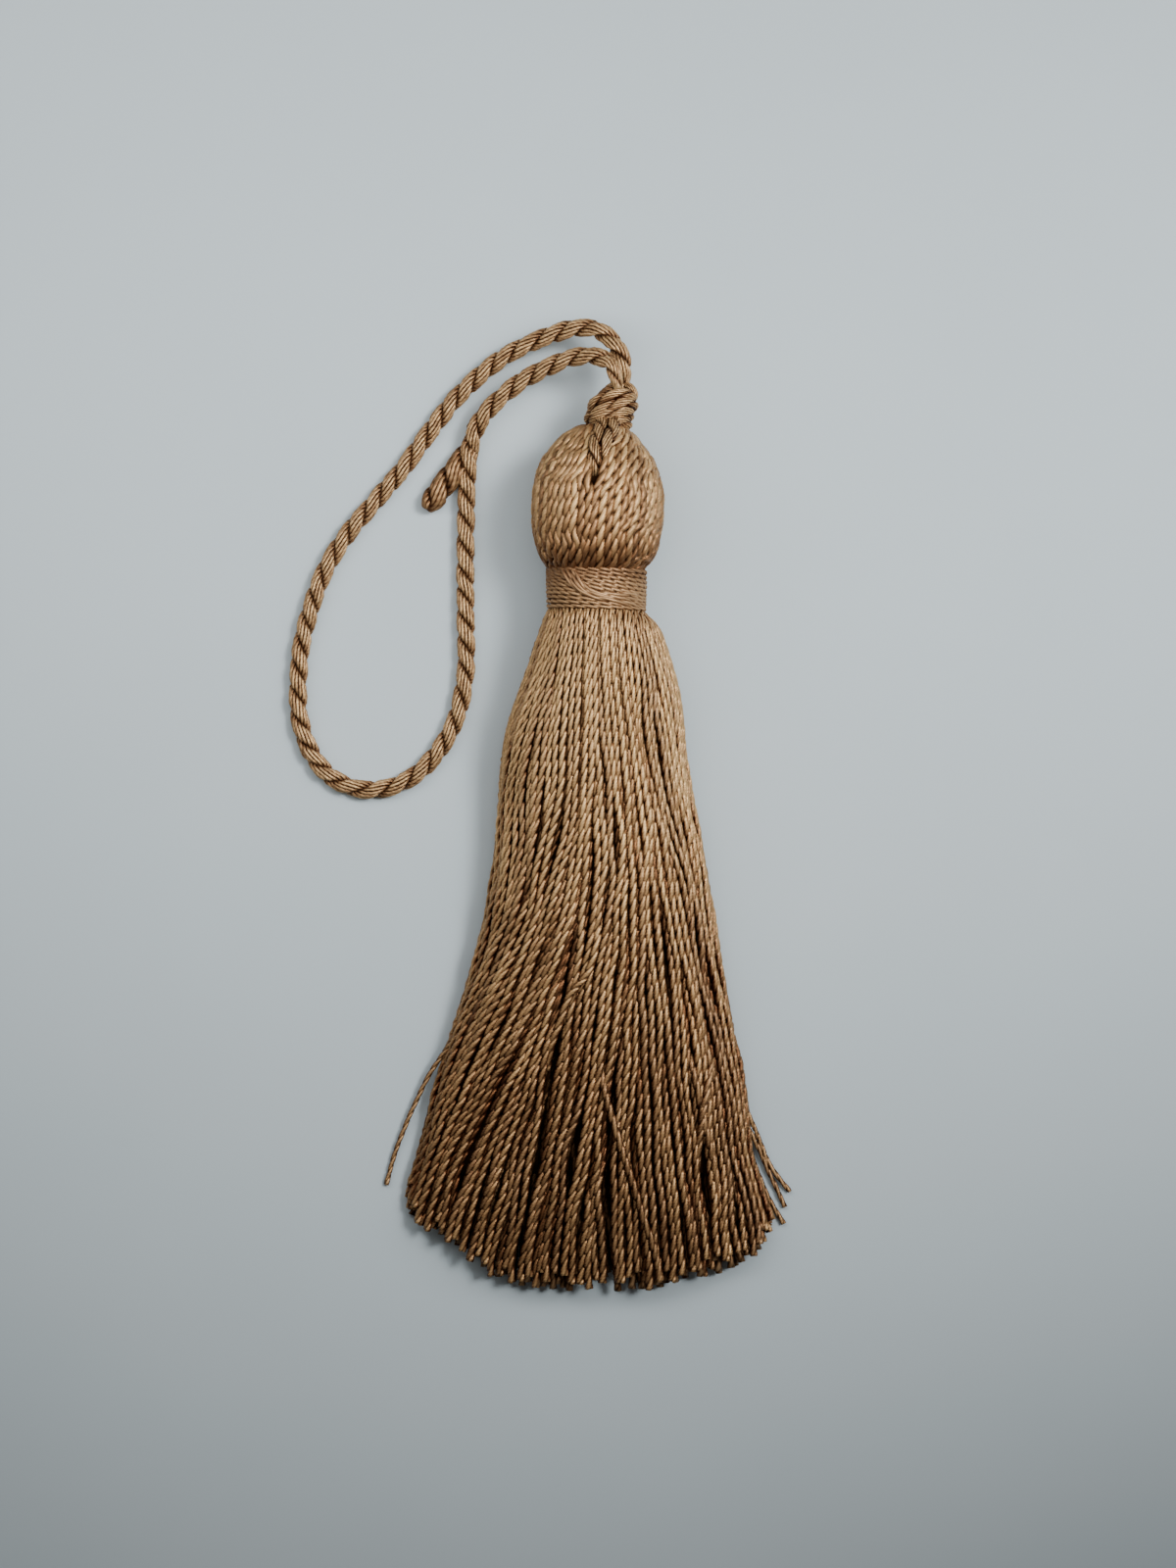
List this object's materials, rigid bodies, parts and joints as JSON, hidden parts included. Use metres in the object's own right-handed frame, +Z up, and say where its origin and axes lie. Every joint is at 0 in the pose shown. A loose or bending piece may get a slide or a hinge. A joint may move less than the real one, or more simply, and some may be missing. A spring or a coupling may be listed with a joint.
{
  "type": "silk key tassel",
  "caption": "Lying tassel: a thread hank with a round head, bound neck and spread cut skirt, hung on a knotted twisted cord loop.",
  "frame": {"origin": "middle of the underside of the lying tassel's own box, on the table plane, the cord's free pieces left out", "axes": "+Y along the tassel from the cut ends of the skirt towards the head, +Z up from the table, +X to the right seen from above with the head away"},
  "size_m": [0.0517, 0.0983, 0.0133],
  "materials": {
    "silk_thread": "two-ply silk thread, champagne gold, soft satin sheen",
    "binding_thread": "the same thread wound close, soft satin sheen",
    "cord_silk": "two-strand twisted silk cord, champagne gold, soft sheen"
  },
  "bodies": {
    "root": {"yarn_hank": "silk_thread", "neck_binding": "binding_thread", "cord_knot": "cord_silk", "cord_bight": "cord_silk", "cord_loop": "cord_silk", "cord_pigtail": "cord_silk"}
  },
  "joints": []
}
